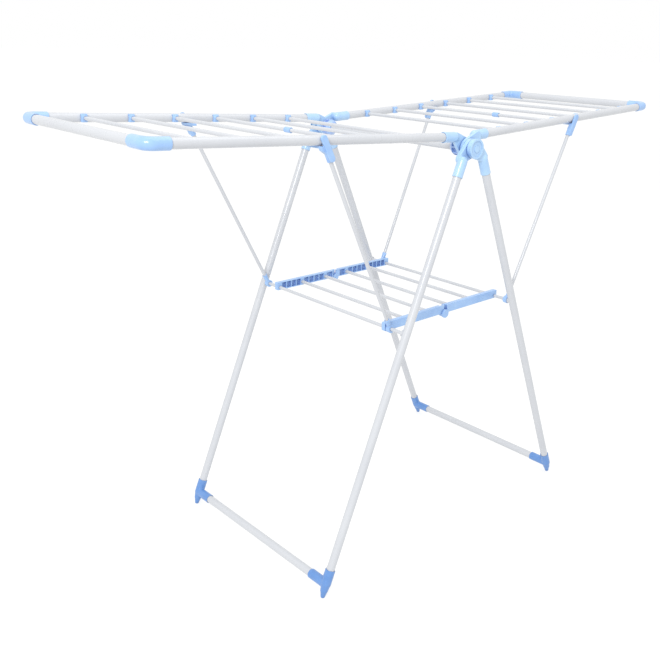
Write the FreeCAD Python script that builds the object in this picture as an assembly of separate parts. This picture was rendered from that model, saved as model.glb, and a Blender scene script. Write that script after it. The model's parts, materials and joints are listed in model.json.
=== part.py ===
import FreeCAD, Part
import math
import os

# Folding gull-wing clothes airer, modelled open. Millimetres, +Z up.
# X runs along the wings, Y across the depth, and the origin is on the floor
# under the middle of the rack. Every arm is drawn for the near right corner
# and then mirrored: near is -Y, right is +X.

V = FreeCAD.Vector

# ---- frame ----
PIVOT_HEIGHT = 900.0
LEG_ANGLE = 23.0            # each leg from the vertical
WING_RISE = 2.8             # each wing above the horizontal
ARM_OFFSET = 20.5           # pivot axis to the axis of every leg and wing tube
LEG_LENGTH = 954.0          # along a leg, pivot to foot bar
WING_LENGTH = 716.0         # along a wing, pivot to end bar
LEG_DEPTH = 245.0           # middle of the rack to a leg tube axis
WING_DEPTH = 219.0          # middle of the rack to a wing rail axis
TUBE_R = 9.0
TUBE_WALL = 1.0
THIN_WALL = 0.8             # of the rungs, shelf rods and stays
SNUG = 0.02                 # gap round a pressed-in tube or rod
RUNNING = 0.08              # gap round a hinge pin or axle

# ---- hubs: slabs between these distances from the middle of the rack ----
CAP_SLAB = (252.5, 254.3)
OUTER_LEG_SLAB = (243.4, 252.0)
INNER_LEG_SLAB = (233.0, 242.8)
OUTER_WING_SLAB = (225.2, 232.4)
INNER_WING_SLAB = (216.6, 224.6)
CORE_SLAB = (192.0, 216.0)
KNUCKLE_R = 19.5
PIN_R = 5.0
SOCKET_R = 10.7
SOCKET_START = 34.0
NECK_REACH = 30.0
LEG_SOCKET_END = 68.0
WING_SOCKET_END = 67.0
CAP_R = 20.5
CAP_RIM_WIDTH = 4.5
CAP_RIM_HEIGHT = 1.7
BUTTON_R = 7.5
PIN_IN_CAP = 0.9
CROSS_TUBE_END = 204.0
CORE_RIBS = 8
RIB_THICKNESS = 2.6

# ---- feet ----
FOOT_SOCKET_TOP = 922.0     # along the leg
FOOT_BAR_SOCKET_END = 196.0
FOOT_R = 11.0
TOE_KNEE = (5.0, -13.5)     # from the foot bar axis, outward and up
TOE_KNEE_R = 8.4
TOE_TIP_OUT = 8.6
TOE_TIP_Z = 3.4
TOE_TIP_R = 5.0

# ---- wings ----
RUNG_R = 3.75
RUNG_FIRST = 126.0
RUNG_PITCH = 97.3
RUNG_COUNT = 6
RUNG_END = 208.5
SLEEVE_RUNG = 2
SLEEVE_FROM = -54.0
SLEEVE_LENGTH = 18.0
SLEEVE_R = 5.6
ELBOW_R = 10.8
ELBOW_BEND = 14.0
ELBOW_RAIL_ARM = 38.0
ELBOW_BAR_ARM = 44.0

# ---- shelf axles and stays ----
AXLE_REACH = 404.0          # along the leg, pivot to shelf axle
AXLE_R = 3.8
FLANGE_R = 7.0
FLANGE_INNER = 233.2
STAY_R = 4.0
STAY_GRIP = 385.0           # along the wing, pivot to stay clip
STAY_TOP_DEPTH = 226.0
STAY_EYE_DEPTH = {"near_left": 196.8, "far_right": 196.8, "near_right": 227.8, "far_left": 227.8}
EYE_R = 8.5
EYE_HALF = 5.0
EYE_NECK_R = 6.3
EYE_NECK = 26.0
CLIP_TOP = 15.0             # clip socket mouth, below the rail axis
CLIP_BOTTOM = 42.0
CLIP_SOCKET_R = 6.0
PADDLE_SLAB = (228.6, 233.8)
PADDLE_TOP_R = 6.3
SADDLE_DROP = 9.4
SADDLE_THICK = 4.6
SADDLE_HALF = 6.5
SADDLE_INNER = 190.0

# ---- folding shelf: heights are from its axles ----
SHELF_SLAB = (180.5, 190.5)
SHELF_SPLIT = 185.5
SHELF_BOTTOM = -6.0         # also the height of the middle pivot
SHELF_TOP = 13.0
SHELF_OVERHANG = 9.0
SHELF_WALL = 2.0
SHELF_SKIN = 2.4            # thickness left between the pockets and the outer face
ROD_R = 3.9
ROD_RISE = 1.8
ROD_PLACES = (35.5, 109.0)  # from the middle of the rack; the axles are the outermost rods
ROD_BOSS = 5.5
BAY_POCKETS = (1, 4, 4)     # from the middle pivot to each rod in turn and the axle
LUG_R = 8.5
LUG_GAP = 0.6
SHELF_PIN_R = 2.5
KNOB_R = 9.8
KNOB_OUTER = 196.0

LEG_TURN = 90.0 - LEG_ANGLE
WING_TURN = -WING_RISE


def arm_point(along, offset, turn):
    """Point of the XZ plane for a place on an arm that has been turned down by turn degrees."""
    a = math.radians(turn)
    x = along * math.cos(a) + offset * math.sin(a)
    z = offset * math.cos(a) - along * math.sin(a) + PIVOT_HEIGHT
    return (x, z)


AXLE_X, AXLE_Z = arm_point(AXLE_REACH, ARM_OFFSET, LEG_TURN)
FOOT_X, FOOT_Z = arm_point(LEG_LENGTH, ARM_OFFSET, LEG_TURN)
CLIP_X, CLIP_Z = arm_point(STAY_GRIP, ARM_OFFSET, WING_TURN)


# ---- helpers ----
def rod(start, end, radius):
    axis = V(*end).sub(V(*start))
    return Part.makeCylinder(radius, axis.Length, V(*start), axis)


def cone(start, start_r, end, end_r):
    axis = V(*end).sub(V(*start))
    return Part.makeCone(start_r, end_r, axis.Length, V(*start), axis)


def ball(centre, radius):
    return Part.makeSphere(radius, V(*centre))


def box(low, high):
    size = V(*high).sub(V(*low))
    return Part.makeBox(size.x, size.y, size.z, V(*low))


def fuse(first, *others):
    return first.fuse(list(others)).removeSplitter()


def pipe(start, end, radius=TUBE_R, wall=TUBE_WALL):
    return rod(start, end, radius).cut(rod(start, end, radius - wall))


def near_disc(x, z, radius, slab):
    """Disc across a slab on the near side."""
    return rod((x, -slab[1], z), (x, -slab[0], z), radius)


def link_plate(a, a_r, b, b_r, slab):
    """Flat plate round two XZ circles: the discs and the quadrilateral between their tangents."""
    dx = b[0] - a[0]
    dz = b[1] - a[1]
    span = math.hypot(dx, dz)
    heading = math.atan2(dz, dx)
    lean = math.acos((a_r - b_r) / span)
    corners = []
    for centre, radius, side in ((a, a_r, 1), (b, b_r, 1), (b, b_r, -1), (a, a_r, -1)):
        angle = heading + side * lean
        x = centre[0] + radius * math.cos(angle)
        z = centre[1] + radius * math.sin(angle)
        corners.append(V(x, -slab[1], z))
    face = Part.Face(Part.makePolygon(corners + corners[:1]))
    web = face.extrude(V(0, slab[1] - slab[0], 0))
    return fuse(near_disc(a[0], a[1], a_r, slab), near_disc(b[0], b[1], b_r, slab), web)


def at(along, depth):
    """Point on the axis of an arm's tube, before the arm is turned: depth is from the middle of the rack."""
    return (along, -depth, ARM_OFFSET)


def mirrored(shape, across_x, across_y):
    result = shape
    if across_x:
        result = result.mirror(V(0, 0, 0), V(1, 0, 0))
    if across_y:
        result = result.mirror(V(0, 0, 0), V(0, 1, 0))
    return result


def corner(shape, name):
    """Move a near right shape to the corner that name gives, such as far_left."""
    return mirrored(shape, "left" in name, "far" in name)


def on_arm(shape, turn):
    """Turn a shape drawn along +X about the pivot line, and lift it to the pivot."""
    placed = shape.copy()
    placed.rotate(V(0, 0, 0), V(0, 1, 0), turn)
    placed.translate(V(0, 0, PIVOT_HEIGHT))
    return placed


def both_ends(shape):
    """The near shape and its far twin, as separate solids of one node."""
    return Part.makeCompound([shape, mirrored(shape, False, True)])


def save(name, shape):
    shape.exportStep("parts/" + name + ".step")


# ---- hubs ----
def hub_socket(slab, depth, end):
    """Knuckle on the pivot pin with a socket for a tube that lies beside the pivot."""
    knuckle = link_plate((0, 0), KNUCKLE_R, (NECK_REACH, ARM_OFFSET), SOCKET_R - 0.5, slab)
    mouth = at(end, depth)
    back = at(SOCKET_START, depth)
    lip = rod(at(end - 3.0, depth), mouth, SOCKET_R + 0.3)
    body = fuse(knuckle, rod(back, mouth, SOCKET_R), ball(back, SOCKET_R), lip)
    tube_seat = rod(at(SOCKET_START + 2, depth), mouth, TUBE_R + SNUG)
    pin_hole = near_disc(0, 0, PIN_R + RUNNING, slab)
    return body.cut(tube_seat).cut(pin_hole)


def hub_core():
    """Ribbed block on the pin, inside the knuckles, with a flared cup for the cross tube."""
    inner, outer = CORE_SLAB
    z = PIVOT_HEIGHT
    cup = cone((0, -inner, z), 13.0, (0, -inner - 9, z), 18.5)
    drum = near_disc(0, z, 12.0, (inner + 9, outer))
    plate = near_disc(0, z, 18.5, (outer - 2, outer))
    body = fuse(cup, drum, plate)
    for k in range(CORE_RIBS):
        rib = box((0, -outer, -RIB_THICKNESS / 2), (18.5, -inner - 8, RIB_THICKNESS / 2))
        rib.rotate(V(0, 0, 0), V(0, 1, 0), 360.0 * k / CORE_RIBS)
        rib.translate(V(0, 0, z))
        body = body.fuse(rib)
    seat = near_disc(0, z, TUBE_R + SNUG, (inner - 1, CROSS_TUBE_END))
    pin_hole = near_disc(0, z, PIN_R + SNUG, (CROSS_TUBE_END - 1, outer + 1))
    return body.removeSplitter().cut(seat).cut(pin_hole)


def hub_cap():
    """Round cap on the pin's outer end, with a raised rim and a button."""
    inner, outer = CAP_SLAB
    z = PIVOT_HEIGHT
    disc = near_disc(0, z, CAP_R, CAP_SLAB)
    rim = near_disc(0, z, CAP_R, (outer, outer + CAP_RIM_HEIGHT))
    dish = near_disc(0, z, CAP_R - CAP_RIM_WIDTH, (outer - 0.4, outer + CAP_RIM_HEIGHT))
    button = near_disc(0, z, BUTTON_R, (outer - 0.4, outer + CAP_RIM_HEIGHT - 0.4))
    pin_seat = near_disc(0, z, PIN_R + SNUG, (inner, inner + PIN_IN_CAP))
    return fuse(disc.fuse(rim).cut(dish), button).cut(pin_seat)


def make_hubs():
    save("cross_tube", pipe((0, -CROSS_TUBE_END, PIVOT_HEIGHT), (0, CROSS_TUBE_END, PIVOT_HEIGHT)))
    save("hub_cores", both_ends(hub_core()))
    pin = near_disc(0, PIVOT_HEIGHT, PIN_R, (CROSS_TUBE_END + 0.5, CAP_SLAB[0] + PIN_IN_CAP))
    save("pivot_pins", both_ends(pin))
    save("hub_cap_near", hub_cap())
    save("hub_cap_far", mirrored(hub_cap(), False, True))


# ---- legs ----
def foot():
    """Blue foot with a socket for the leg, one for the foot bar, and a toe that curves to the floor."""
    top_x, top_z = arm_point(FOOT_SOCKET_TOP, ARM_OFFSET, LEG_TURN)
    top = (top_x, -LEG_DEPTH, top_z)
    heel = (FOOT_X, -LEG_DEPTH, FOOT_Z)
    bar_mouth = (FOOT_X, -FOOT_BAR_SOCKET_END, FOOT_Z)
    knee = (FOOT_X + TOE_KNEE[0], -LEG_DEPTH, FOOT_Z + TOE_KNEE[1])
    tip = (FOOT_X + TOE_TIP_OUT, -LEG_DEPTH, TOE_TIP_Z)
    body = fuse(rod(top, heel, FOOT_R), ball(heel, FOOT_R), rod(heel, bar_mouth, FOOT_R - 0.3))
    toe = fuse(cone(heel, FOOT_R - 0.4, knee, TOE_KNEE_R), ball(knee, TOE_KNEE_R),
               cone(knee, TOE_KNEE_R - 0.1, tip, TOE_TIP_R), ball(tip, TOE_TIP_R))
    floor = box((FOOT_X - 60, -LEG_DEPTH - 60, -40), (FOOT_X + 60, -LEG_DEPTH + 60, 0))
    seat_x, seat_z = arm_point(LEG_LENGTH - 12, ARM_OFFSET, LEG_TURN)
    leg_seat = rod(top, (seat_x, -LEG_DEPTH, seat_z), TUBE_R + SNUG)
    bar_seat = rod((FOOT_X, -LEG_DEPTH + 13, FOOT_Z), bar_mouth, TUBE_R + SNUG)
    return fuse(body, toe).cut(floor).cut(leg_seat).cut(bar_seat)


def axle_flange():
    """Round flange on the axle, shaped to the leg tube's inner side."""
    disc = rod(at(AXLE_REACH, LEG_DEPTH - 5), at(AXLE_REACH, FLANGE_INNER), FLANGE_R)
    leg = rod(at(AXLE_REACH - 20, LEG_DEPTH), at(AXLE_REACH + 20, LEG_DEPTH), TUBE_R + SNUG)
    seat = rod(at(AXLE_REACH, LEG_DEPTH), at(AXLE_REACH, FLANGE_INNER), AXLE_R + SNUG)
    return disc.cut(leg).cut(seat)


def shelf_axle(inner_end):
    """Shelf axle from one leg to the other, or only its two ends, from each leg to inner_end."""
    outer_end = LEG_DEPTH - TUBE_R - 0.4
    if inner_end:
        return both_ends(rod(at(AXLE_REACH, outer_end), at(AXLE_REACH, inner_end), AXLE_R))
    return rod(at(AXLE_REACH, outer_end), at(AXLE_REACH, -outer_end), AXLE_R)


def make_leg_frame(side, slab, axle_inner):
    tube = pipe(at(SOCKET_START + 2.5, LEG_DEPTH), at(LEG_LENGTH - 12.5, LEG_DEPTH))
    socket = hub_socket(slab, LEG_DEPTH, LEG_SOCKET_END)
    for end in ("near", "far"):
        place = end + "_" + side
        save(side + "_leg_hub_" + end, corner(on_arm(socket, LEG_TURN), place))
        save(side + "_leg_tube_" + end, corner(on_arm(tube, LEG_TURN), place))
        save(side + "_foot_" + end, corner(foot(), place))
    bar_end = LEG_DEPTH - 13.5
    bar = pipe((FOOT_X, -bar_end, FOOT_Z), (FOOT_X, bar_end, FOOT_Z))
    save(side + "_foot_bar", corner(bar, side))
    save(side + "_axle_flanges", corner(both_ends(on_arm(axle_flange(), LEG_TURN)), side))
    save(side + "_shelf_axle", corner(on_arm(shelf_axle(axle_inner), LEG_TURN), side))


# ---- wings ----
def elbow():
    """Smooth corner joint between a wing rail and the end bar."""
    rail_end = WING_LENGTH - ELBOW_BEND
    bar_end = WING_DEPTH - ELBOW_BEND
    bend = Part.makeTorus(ELBOW_BEND, ELBOW_R, V(0, 0, 0), V(0, 0, 1), -180, 180, 90)
    bend.rotate(V(0, 0, 0), V(0, 0, 1), -90)
    bend.translate(V(*at(rail_end, bar_end)))
    rail_mouth = at(WING_LENGTH - ELBOW_RAIL_ARM, WING_DEPTH)
    bar_mouth = at(WING_LENGTH, WING_DEPTH - ELBOW_BAR_ARM)
    rail_arm = rod(rail_mouth, at(rail_end, WING_DEPTH), ELBOW_R)
    bar_arm = rod(at(WING_LENGTH, bar_end), bar_mouth, ELBOW_R)
    rail_seat = rod(rail_mouth, at(rail_end - 2, WING_DEPTH), TUBE_R + SNUG)
    bar_seat = rod(at(WING_LENGTH, bar_end - 2), bar_mouth, TUBE_R + SNUG)
    return fuse(rail_arm, bend, bar_arm).cut(rail_seat).cut(bar_seat)


def rung_place(index):
    return RUNG_FIRST + RUNG_PITCH * index


def rung_socket(along):
    """Blue block on the inner face of the rail, with a round boss for the rung's end."""
    back = -WING_DEPTH + 6
    front = -WING_DEPTH + 14
    block = box((along - 6, back, ARM_OFFSET - 8), (along + 6, front, ARM_OFFSET + 8))
    block = block.makeFillet(1.5, block.Edges)
    boss = rod((along, front - 1, ARM_OFFSET), (along, front + 3.5, ARM_OFFSET), 5.6)
    rail = rod(at(along - 20, WING_DEPTH), at(along + 20, WING_DEPTH), TUBE_R + SNUG)
    seat = rod((along, -RUNG_END - 0.5, ARM_OFFSET), (along, front + 5, ARM_OFFSET), RUNG_R + SNUG)
    return fuse(block, boss).cut(rail).cut(seat)


def make_wing(side, slab):
    socket = hub_socket(slab, WING_DEPTH, WING_SOCKET_END)
    rail_end = WING_LENGTH - ELBOW_BEND - 2.5
    rail = pipe(at(SOCKET_START + 2.5, WING_DEPTH), at(rail_end, WING_DEPTH))
    for end in ("near", "far"):
        place = end + "_" + side
        save(side + "_wing_hub_" + end, corner(on_arm(socket, WING_TURN), place))
        save(side + "_wing_rail_" + end, corner(on_arm(rail, WING_TURN), place))
    bar_end = WING_DEPTH - ELBOW_BEND - 2.5
    bar = pipe(at(WING_LENGTH, bar_end), at(WING_LENGTH, -bar_end))
    save(side + "_wing_end_bar", corner(on_arm(bar, WING_TURN), side))
    save(side + "_wing_elbows", corner(both_ends(on_arm(elbow(), WING_TURN)), side))
    rungs = []
    sockets = []
    for index in range(RUNG_COUNT):
        along = rung_place(index)
        rung = pipe(at(along, RUNG_END), at(along, -RUNG_END), RUNG_R, THIN_WALL)
        rungs.append(on_arm(rung, WING_TURN))
        sockets.append(on_arm(rung_socket(along), WING_TURN))
        sockets.append(mirrored(sockets[-1], False, True))
    save(side + "_wing_rungs", corner(Part.makeCompound(rungs), side))
    save(side + "_rung_sockets", corner(Part.makeCompound(sockets), side))
    along = rung_place(SLEEVE_RUNG)
    start = (along, SLEEVE_FROM, ARM_OFFSET)
    end = (along, SLEEVE_FROM + SLEEVE_LENGTH, ARM_OFFSET)
    sleeve = rod(start, end, SLEEVE_R).cut(rod(start, end, RUNG_R + SNUG))
    save(side + "_rung_sleeve", corner(on_arm(sleeve, WING_TURN), side))


# ---- stays ----
def stay_frame(eye_depth):
    """Unit vector up the stay, from its eye on the axle to the grip under the rail."""
    foot_point = V(AXLE_X, -eye_depth, AXLE_Z)
    grip = V(CLIP_X, -STAY_TOP_DEPTH, CLIP_Z)
    up = grip.sub(foot_point)
    length = up.Length
    up.normalize()
    return foot_point, grip, up, length


def along_line(origin, direction, distance):
    return tuple(origin.add(V(direction).multiply(distance)))


def stay_wire(eye_depth):
    origin, grip, up, length = stay_frame(eye_depth)
    low = along_line(origin, up, EYE_R + 5)
    high = along_line(origin, up, length - CLIP_TOP - 3)
    return pipe(low, high, STAY_R, THIN_WALL)


def stay_eye(eye_depth):
    origin, grip, up, length = stay_frame(eye_depth)
    slab = (eye_depth - EYE_HALF, eye_depth + EYE_HALF)
    ring = near_disc(AXLE_X, AXLE_Z, EYE_R, slab)
    neck = cone(along_line(origin, up, 4), 4.6, along_line(origin, up, EYE_NECK), EYE_NECK_R - 0.6)
    wire_seat = rod(along_line(origin, up, EYE_R + 4.5), along_line(origin, up, EYE_NECK + 1), STAY_R + SNUG)
    axle_hole = near_disc(AXLE_X, AXLE_Z, AXLE_R + RUNNING, (eye_depth - 8, eye_depth + 8))
    inner_trim = near_disc(AXLE_X, AXLE_Z, 12, (eye_depth - 20, eye_depth - EYE_HALF))
    outer_trim = near_disc(AXLE_X, AXLE_Z, 12, (eye_depth + EYE_HALF, eye_depth + 20))
    return fuse(ring, neck).cut(wire_seat).cut(axle_hole).cut(inner_trim).cut(outer_trim)


def stay_clip(eye_depth):
    """Hook on the stay's top: a socket, a paddle up the rail's outer side and a tongue under the rail."""
    origin, grip, up, length = stay_frame(eye_depth)
    top = along_line(grip, up, -CLIP_TOP)
    bottom = along_line(grip, up, -CLIP_BOTTOM)
    socket = rod(bottom, top, CLIP_SOCKET_R)
    flat_up = V(up.x, 0, up.z)
    flat_up.normalize()
    paddle_low = (CLIP_X - flat_up.x * (CLIP_BOTTOM - 6), CLIP_Z - flat_up.z * (CLIP_BOTTOM - 6))
    paddle_top = (CLIP_X + flat_up.x * 4.5, CLIP_Z + flat_up.z * 4.5)
    paddle = link_plate(paddle_low, CLIP_SOCKET_R, paddle_top, PADDLE_TOP_R, PADDLE_SLAB)
    saddle = box((STAY_GRIP - SADDLE_HALF, -PADDLE_SLAB[0] - 1, ARM_OFFSET - SADDLE_DROP - SADDLE_THICK),
                 (STAY_GRIP + SADDLE_HALF, -SADDLE_INNER, ARM_OFFSET - SADDLE_DROP))
    saddle = on_arm(saddle, WING_TURN)
    root = (CLIP_X - flat_up.x * CLIP_BOTTOM * 0.6, CLIP_Z - flat_up.z * CLIP_BOTTOM * 0.6)
    under_rail = arm_point(STAY_GRIP, ARM_OFFSET - SADDLE_DROP - 4.9, WING_TURN)
    web = link_plate(root, 4.6, under_rail, 4.8, (STAY_TOP_DEPTH - 5, STAY_TOP_DEPTH + 4))
    seat_top = along_line(grip, up, -CLIP_TOP - 2.5)
    wire_seat = rod(along_line(grip, up, -CLIP_BOTTOM - 1), seat_top, STAY_R + SNUG)
    rail_start = at(0, WING_DEPTH)
    rail_room = on_arm(rod(rail_start, at(WING_LENGTH, WING_DEPTH), SADDLE_DROP - 0.05), WING_TURN)
    return fuse(socket, paddle, saddle, web).cut(wire_seat).cut(rail_room)


def make_stays():
    for place, eye_depth in STAY_EYE_DEPTH.items():
        save("stay_" + place, corner(stay_wire(eye_depth), place))
        save("stay_eye_" + place, corner(stay_eye(eye_depth), place))
        save("stay_clip_" + place, corner(stay_clip(eye_depth), place))


# ---- folding shelf ----
def pockets():
    """Open pockets in the inner face of an end rail, in bays between the rods."""
    inner, outer = SHELF_SLAB
    marks = (LUG_R - 2,) + ROD_PLACES + (AXLE_X,)
    cuts = []
    for start, end, count in zip(marks[:-1], marks[1:], BAY_POCKETS):
        first = start + ROD_BOSS
        width = (end - ROD_BOSS - first - SHELF_WALL * (count - 1)) / count
        for k in range(count):
            left = first + k * (width + SHELF_WALL)
            low = (left, -outer + SHELF_SKIN, AXLE_Z + SHELF_BOTTOM + SHELF_WALL)
            high = (left + width, -inner, AXLE_Z + SHELF_TOP - SHELF_WALL)
            cuts.append(box(low, high))
    return cuts


def shelf_rail(lug_slab, turns_on_axle):
    """Near right half of a shelf end rail: smooth outside, pockets inside, a lug on the middle pivot."""
    inner, outer = SHELF_SLAB
    bottom = AXLE_Z + SHELF_BOTTOM
    top = AXLE_Z + SHELF_TOP
    start = LUG_R + LUG_GAP
    bar = box((start, -outer, bottom), (AXLE_X + SHELF_OVERHANG, -inner, top))
    bar = bar.makeFillet(2.5, [edge for edge in bar.Edges if edge.BoundBox.YLength > 1])
    for cut in pockets():
        bar = bar.cut(cut)
    lug = near_disc(0, bottom, LUG_R, lug_slab)
    web = box((LUG_GAP, -lug_slab[1], bottom), (start + 3, -lug_slab[0], top))
    body = fuse(bar, lug, web).cut(near_disc(0, bottom, SHELF_PIN_R + RUNNING, SHELF_SLAB))
    for place in ROD_PLACES:
        body = body.cut(near_disc(place, AXLE_Z + ROD_RISE, ROD_R + SNUG, (inner, outer - SHELF_SKIN)))
    if turns_on_axle:
        return body.cut(near_disc(AXLE_X, AXLE_Z, AXLE_R + RUNNING, SHELF_SLAB))
    return body.cut(near_disc(AXLE_X, AXLE_Z, AXLE_R + SNUG, (inner, outer - SHELF_SKIN)))


def shelf_rods(has_end_rod):
    reach = SHELF_SLAB[1] - SHELF_SKIN - 0.2
    height = AXLE_Z + ROD_RISE
    rods = [pipe((place, -reach, height), (place, reach, height), ROD_R, THIN_WALL) for place in ROD_PLACES]
    if has_end_rod:
        rods.append(pipe((AXLE_X, -reach, AXLE_Z), (AXLE_X, reach, AXLE_Z), AXLE_R, THIN_WALL))
    return Part.makeCompound(rods)


def shelf_knob():
    """Round knob and its pin on the middle pivot of an end rail."""
    height = AXLE_Z + SHELF_BOTTOM
    pin = near_disc(0, height, SHELF_PIN_R, (SHELF_SLAB[0], SHELF_SLAB[1] + 2))
    knob = near_disc(0, height, KNOB_R, (SHELF_SLAB[1] + 0.4, KNOB_OUTER))
    rim = [edge for edge in knob.Edges if edge.BoundBox.YMax < -KNOB_OUTER + 0.1]
    return fuse(knob.makeFillet(1.6, rim), pin)


def make_shelf():
    inner, outer = SHELF_SLAB
    lug_slabs = {"left": (SHELF_SPLIT + 0.2, outer), "right": (inner, SHELF_SPLIT - 0.2)}
    for side, lug_slab in lug_slabs.items():
        rail = shelf_rail(lug_slab, side == "left")
        for end in ("near", "far"):
            save(side + "_shelf_rail_" + end, corner(rail, end + "_" + side))
        save(side + "_shelf_rods", corner(shelf_rods(side == "right"), side))
    save("shelf_knobs", both_ends(shelf_knob()))


os.makedirs("parts", exist_ok=True)
make_hubs()
make_leg_frame("right", OUTER_LEG_SLAB, SHELF_SLAB[1] + 1.6)
make_leg_frame("left", INNER_LEG_SLAB, None)
make_wing("right", OUTER_WING_SLAB)
make_wing("left", INNER_WING_SLAB)
make_stays()
make_shelf()
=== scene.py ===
import json
import math

import bmesh
import bpy
from mathutils import Matrix, Vector


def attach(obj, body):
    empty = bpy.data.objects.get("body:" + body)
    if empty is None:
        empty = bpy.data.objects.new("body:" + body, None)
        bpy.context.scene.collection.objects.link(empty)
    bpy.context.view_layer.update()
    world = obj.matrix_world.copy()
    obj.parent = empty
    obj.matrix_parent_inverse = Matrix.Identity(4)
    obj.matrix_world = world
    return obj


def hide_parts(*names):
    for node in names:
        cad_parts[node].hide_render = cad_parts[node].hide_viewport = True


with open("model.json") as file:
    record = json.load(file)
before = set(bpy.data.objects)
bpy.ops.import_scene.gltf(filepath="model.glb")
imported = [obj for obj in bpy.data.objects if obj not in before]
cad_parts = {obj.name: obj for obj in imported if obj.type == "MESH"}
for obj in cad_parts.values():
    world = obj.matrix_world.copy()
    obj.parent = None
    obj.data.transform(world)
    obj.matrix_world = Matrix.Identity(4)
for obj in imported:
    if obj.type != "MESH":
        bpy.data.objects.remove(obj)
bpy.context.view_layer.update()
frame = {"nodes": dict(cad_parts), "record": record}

SIDES = ("left", "right")
ENDS = ("near", "far")
CORNERS = tuple(end + "_" + side for side in SIDES for end in ENDS)
WHITE_PARTS = ("foot_bar", "wing_end_bar", "wing_rungs", "shelf_rods", "shelf_axle", "axle_flanges")
BODIES = frame["record"]["behaviour"]["bodies"]
BODY_OF = {node: body for body, nodes in BODIES.items() for node in nodes}

# ---- colours, linear: light and dark tone, and for plastic the painted shade of its hollows ----
ENAMEL_TONES = (0.52, 0.535, 0.56), (0.49, 0.505, 0.535)
STEEL_TONES = (0.74, 0.75, 0.78), (0.62, 0.63, 0.66)
# the third tone of each plastic is painted shade, laid into hollows and crevices where shade falls
PALE_TONES = (0.38, 0.56, 0.76), (0.33, 0.50, 0.74), (0.16, 0.29, 0.60)
SKY_TONES = (0.31, 0.48, 0.74), (0.26, 0.42, 0.71), (0.17, 0.29, 0.60)
CORE_TONES = (0.34, 0.47, 0.74), (0.30, 0.43, 0.72), (0.24, 0.36, 0.66)
FOOT_TONES = (0.13, 0.27, 0.57), (0.10, 0.23, 0.52), (0.06, 0.16, 0.40)
EDGE_LIFT = 0.16            # how much paler the plastic's rubbed edges are
HOLLOW_SHADE_REACH = 0.014        # metres of free space that count as open, for the painted shade in hollows

# ---- mouldings ----
WELD = 0.000002             # metres
SOFTENING = 0.5
KEPT_FACES = 0.4            # share of the voxel mesh's faces

# ---- stage ----
FLOOR_REACH = 40.0
FLOOR_GREY = 0.25
FLOOR_GLOW = 0.76
KEY_PLACE = (-3.0, -1.8, 2.6)
KEY_TARGET = (0, 0, 0.7)
KEY_SIZE = 1.2
KEY_POWER = 78.0
TOP_PLACE = (0.1, -0.2, 2.5)
TOP_TARGET = (0, 0, 0.8)
TOP_SIZE = 1.8
TOP_POWER = 11.0

# ---- camera ----
CAMERA_PLACE = (-1.3078, -1.3308, 1.1167)
CAMERA_AZIMUTH = 44.5       # degrees from +Y towards +X
CAMERA_ELEVATION = 20.35
CAMERA_ROLL = 1.59
CAMERA_LENS = 44.33
CAMERA_SHIFT = (-0.082, 0.0069)

# sockets of the colour mix node
MIX_FACTOR = 0
MIX_LOW = 6
MIX_HIGH = 7
MIX_RESULT = 2


# ---- materials ----
class Recipe:
    """Node material under construction, in object space."""

    def __init__(self, name):
        self.material = bpy.data.materials.new(name)
        self.material.use_nodes = True
        self.tree = self.material.node_tree
        self.shader = self.tree.nodes["Principled BSDF"]

    def add(self, kind, **settings):
        """New node; each setting goes to the input of that name, or else to the node itself."""
        node = self.tree.nodes.new(kind)
        for key, value in settings.items():
            if key in node.inputs:
                node.inputs[key].default_value = value
            else:
                setattr(node, key, value)
        return node

    def feed(self, source, socket):
        """Link an output to one of the shader's inputs."""
        self.tree.links.new(source, self.shader.inputs[socket])

    def uniform(self, values):
        """Values that are the same all over the surface."""
        for socket, value in values.items():
            self.shader.inputs[socket].default_value = value

    def noise(self, scale, detail, stretch=None):
        """Noise with scale features per metre; stretch squeezes it along an axis."""
        texture = self.add("ShaderNodeTexNoise", Scale=scale, Detail=detail)
        source = self.add("ShaderNodeTexCoord").outputs["Object"]
        if stretch:
            mapping = self.add("ShaderNodeMapping", Scale=stretch)
            self.tree.links.new(source, mapping.inputs["Vector"])
            source = mapping.outputs["Vector"]
        self.tree.links.new(source, texture.inputs["Vector"])
        return texture.outputs["Fac"]

    def ramp(self, source, light, dark):
        """Colour from dark to light over the middle of a noise's values."""
        node = self.add("ShaderNodeValToRGB")
        for element, position, colour in zip(node.color_ramp.elements, (0.3, 0.7), (dark, light)):
            element.position = position
            element.color = (*colour, 1)
        self.tree.links.new(source, node.inputs["Fac"])
        return node.outputs["Color"]

    def spread(self, source, low, high, start=0.3, end=0.7):
        """Numbers from low to high while the source goes from start to end."""
        node = self.add("ShaderNodeMapRange")
        node.inputs["From Min"].default_value = start
        node.inputs["From Max"].default_value = end
        node.inputs["To Min"].default_value = low
        node.inputs["To Max"].default_value = high
        self.tree.links.new(source, node.inputs["Value"])
        return node.outputs["Result"]

    def mix(self, factor, low, high):
        """Blend of two colours; each is a plain colour or another node's output."""
        node = self.add("ShaderNodeMix", data_type="RGBA")
        self.tree.links.new(factor, node.inputs[MIX_FACTOR])
        for index, colour in ((MIX_LOW, low), (MIX_HIGH, high)):
            if isinstance(colour, tuple):
                node.inputs[index].default_value = (*colour, 1)
            else:
                self.tree.links.new(colour, node.inputs[index])
        return node.outputs[MIX_RESULT]

    def bump(self, *layers):
        """Chain of bumps, each a height source, a strength and a distance in metres."""
        last = None
        for height, strength, distance in layers:
            node = self.add("ShaderNodeBump", Strength=strength, Distance=distance)
            self.tree.links.new(height, node.inputs["Height"])
            if last:
                self.tree.links.new(last, node.inputs["Normal"])
            last = node.outputs["Normal"]
        self.feed(last, "Normal")


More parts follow.
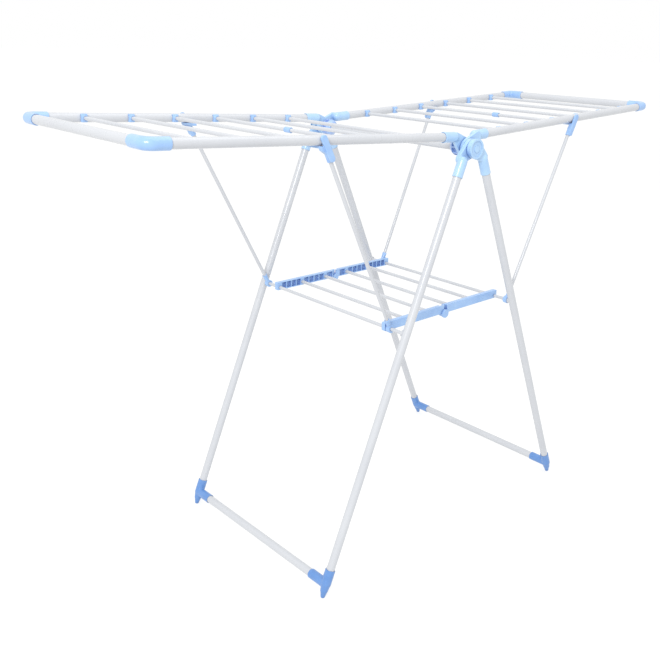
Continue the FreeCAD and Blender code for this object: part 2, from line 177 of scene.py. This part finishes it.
def enamel(name, light, dark):
    """Stoved white enamel: glossy, with a faint orange peel and slow changes of tone."""
    recipe = Recipe(name)
    tone = recipe.noise(scale=9.0, detail=2.0)
    peel = recipe.noise(scale=620.0, detail=2.0)
    ripple = recipe.noise(scale=95.0, detail=2.0)
    recipe.feed(recipe.ramp(tone, light, dark), "Base Color")
    recipe.feed(recipe.spread(ripple, 0.26, 0.32), "Roughness")
    recipe.uniform({"Coat Weight": 0.4, "Coat Roughness": 0.14})
    recipe.bump((ripple, 0.05, 0.0002), (peel, 0.1, 0.00006))
    return recipe.material


def plastic(name, light, dark, hollow_shade):
    """Moulded plastic: gloss, clouded colour, fine spark texture, paler rubbed edges and painted shade in
    the hollows.
    """
    recipe = Recipe(name)
    cloud = recipe.noise(scale=38.0, detail=3.0)
    flow = recipe.noise(scale=140.0, detail=4.0)
    spark = recipe.noise(scale=2600.0, detail=2.0)
    pointiness = recipe.add("ShaderNodeNewGeometry").outputs["Pointiness"]
    edge = recipe.spread(pointiness, 0.0, 0.35, start=0.53, end=0.64)
    paler = tuple(min(1.0, value + EDGE_LIFT) for value in light)
    rubbed = recipe.mix(edge, recipe.ramp(cloud, light, dark), paler)
    # painted shade: the colour darkens towards the hollow shade tone where ambient occlusion finds little
    # free space around the surface
    open_space = recipe.add("ShaderNodeAmbientOcclusion", samples=8, Distance=HOLLOW_SHADE_REACH).outputs["AO"]
    openness = recipe.spread(open_space, 0.0, 1.0, start=0.25, end=0.8)
    recipe.feed(recipe.mix(openness, hollow_shade, rubbed), "Base Color")
    recipe.feed(recipe.spread(flow, 0.2, 0.28), "Roughness")
    recipe.uniform({"IOR": 1.49, "Coat Weight": 0.25, "Coat Roughness": 0.12})
    recipe.bump((flow, 0.06, 0.0004), (spark, 0.1, 0.00004))
    return recipe.material


def drawn_steel(name, light, dark):
    """Bright drawn steel with fine lines along the pins."""
    recipe = Recipe(name)
    lines = recipe.noise(scale=1500.0, detail=3.0, stretch=(1.0, 0.04, 1.0))
    tone = recipe.noise(scale=60.0, detail=2.0)
    recipe.feed(recipe.ramp(tone, light, dark), "Base Color")
    recipe.feed(recipe.spread(lines, 0.24, 0.4), "Roughness")
    recipe.uniform({"Metallic": 0.85})
    recipe.bump((lines, 0.1, 0.00005))
    return recipe.material


WHITE = enamel("white_enamel", *ENAMEL_TONES)
PALE = plastic("pale_blue_plastic", *PALE_TONES)
SKY = plastic("sky_blue_plastic", *SKY_TONES)
CORE = plastic("core_blue_plastic", *CORE_TONES)
FOOT = plastic("foot_blue_plastic", *FOOT_TONES)
STEEL = drawn_steel("pin_steel", *STEEL_TONES)


# ---- pieces ----
def paint(node, material):
    """Give a CAD node its material."""
    target = frame["nodes"][node]
    target.data.materials.clear()
    target.data.materials.append(material)


def rounded_mesh(node, voxel, passes):
    """Mesh of a CAD node with every edge and inner corner rounded as a mould leaves it."""
    mesh = frame["nodes"][node].data.copy()
    work = bmesh.new()
    work.from_mesh(mesh)
    bmesh.ops.remove_doubles(work, verts=work.verts, dist=WELD)
    work.to_mesh(mesh)
    work.free()
    rough = bpy.data.objects.new(node + "_rough", mesh)
    bpy.context.scene.collection.objects.link(rough)
    remesh = rough.modifiers.new("voxels", "REMESH")
    remesh.mode = "VOXEL"
    remesh.voxel_size = voxel
    soften = rough.modifiers.new("soften", "SMOOTH")
    soften.factor = SOFTENING
    soften.iterations = passes
    thin = rough.modifiers.new("thin", "DECIMATE")
    thin.ratio = KEPT_FACES
    graph = bpy.context.evaluated_depsgraph_get()
    done = bpy.data.meshes.new_from_object(rough.evaluated_get(graph), depsgraph=graph)
    bpy.data.objects.remove(rough)
    bpy.data.meshes.remove(mesh)
    done.polygons.foreach_set("use_smooth", [True] * len(done.polygons))
    return done


def moulded(node, material, voxel, passes):
    """Stand-in for a plastic node: the same solid, rounded with voxels of this size in metres."""
    mesh = rounded_mesh(node, voxel, passes)
    mesh.materials.clear()
    mesh.materials.append(material)
    piece = bpy.data.objects.new(node + "_moulding", mesh)
    bpy.context.scene.collection.objects.link(piece)
    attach(piece, BODY_OF[node])
    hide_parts(node)


def make_tubes():
    """White tubes, rungs, rods, axles and stays, and the bare steel pins."""
    paint("cross_tube", WHITE)
    for side in SIDES:
        for part in WHITE_PARTS:
            paint(side + "_" + part, WHITE)
        for end in ENDS:
            paint(side + "_leg_tube_" + end, WHITE)
            paint(side + "_wing_rail_" + end, WHITE)
    for corner in CORNERS:
        paint("stay_" + corner, WHITE)
    paint("pivot_pins", STEEL)


def make_mouldings():
    """Blue plastic parts, with finer voxels for the small ones."""
    for end in ENDS:
        moulded("hub_cap_" + end, PALE, voxel=0.0005, passes=3)
    moulded("hub_cores", CORE, voxel=0.0006, passes=3)
    moulded("shelf_knobs", SKY, voxel=0.0004, passes=3)
    for side in SIDES:
        for end in ENDS:
            moulded(side + "_leg_hub_" + end, PALE, voxel=0.0008, passes=6)
            moulded(side + "_wing_hub_" + end, PALE, voxel=0.0008, passes=6)
            moulded(side + "_foot_" + end, FOOT, voxel=0.0008, passes=8)
            moulded(side + "_shelf_rail_" + end, SKY, voxel=0.0006, passes=2)
        moulded(side + "_wing_elbows", SKY, voxel=0.0008, passes=4)
        moulded(side + "_rung_sockets", SKY, voxel=0.0006, passes=3)
        moulded(side + "_rung_sleeve", SKY, voxel=0.0004, passes=3)
    for corner in CORNERS:
        moulded("stay_clip_" + corner, SKY, voxel=0.0005, passes=4)
        moulded("stay_eye_" + corner, SKY, voxel=0.0004, passes=3)


# ---- stage ----
def make_floor():
    """Plain pale floor."""
    mesh = bpy.data.meshes.new("floor")
    outline = ((-1, -1), (1, -1), (1, 1), (-1, 1))
    mesh.from_pydata([(x * FLOOR_REACH, y * FLOOR_REACH, 0) for x, y in outline], [], [(0, 1, 2, 3)])
    floor = bpy.data.objects.new("floor", mesh)
    bpy.context.scene.collection.objects.link(floor)
    recipe = Recipe("floor")
    recipe.uniform({
        "Base Color": (FLOOR_GREY, FLOOR_GREY, FLOOR_GREY, 1),
        "Emission Color": (1, 1, 1, 1),
        "Emission Strength": FLOOR_GLOW,
        "Roughness": 0.9,
        "Specular IOR Level": 0.1,
    })
    mesh.materials.append(recipe.material)


def area_light(name, place, target, size, power):
    """Soft square light aimed at a point."""
    data = bpy.data.lights.new(name, "AREA")
    data.shape = "SQUARE"
    data.size = size
    data.energy = power
    light = bpy.data.objects.new(name, data)
    light.location = place
    light.rotation_mode = "QUATERNION"
    light.rotation_quaternion = (Vector(target) - Vector(place)).to_track_quat("-Z", "Y")
    bpy.context.scene.collection.objects.link(light)


def make_lights():
    """Even white surroundings with a soft key from the left and a weaker light from above."""
    world = bpy.data.worlds.new("studio")
    world.use_nodes = True
    background = world.node_tree.nodes["Background"]
    background.inputs["Color"].default_value = (1, 1, 1, 1)
    background.inputs["Strength"].default_value = 1.0
    bpy.context.scene.world = world
    area_light("key", KEY_PLACE, KEY_TARGET, KEY_SIZE, KEY_POWER)
    area_light("top", TOP_PLACE, TOP_TARGET, TOP_SIZE, TOP_POWER)
    bpy.context.scene.view_settings.view_transform = "Standard"


def make_camera():
    """Camera at the left front, a little above the rack."""
    azimuth = math.radians(CAMERA_AZIMUTH)
    elevation = math.radians(CAMERA_ELEVATION)
    roll = math.radians(CAMERA_ROLL)
    heading = Vector((math.sin(azimuth), math.cos(azimuth), 0))
    ahead = heading * math.cos(elevation) - Vector((0, 0, math.sin(elevation)))
    level = Vector((math.cos(azimuth), -math.sin(azimuth), 0))
    upright = level.cross(ahead)
    right = level * math.cos(roll) + upright * math.sin(roll)
    up = upright * math.cos(roll) - level * math.sin(roll)
    data = bpy.data.cameras.new("camera")
    data.sensor_width = 36.0
    data.lens = CAMERA_LENS
    data.shift_x, data.shift_y = CAMERA_SHIFT
    data.clip_start = 0.05
    data.clip_end = 200.0
    camera = bpy.data.objects.new("camera", data)
    turn = Matrix((right, up, -ahead)).transposed()
    camera.matrix_world = Matrix.Translation(CAMERA_PLACE) @ turn.to_4x4()
    bpy.context.scene.collection.objects.link(camera)
    bpy.context.scene.camera = camera


make_tubes()
make_mouldings()
make_floor()
make_lights()
make_camera()
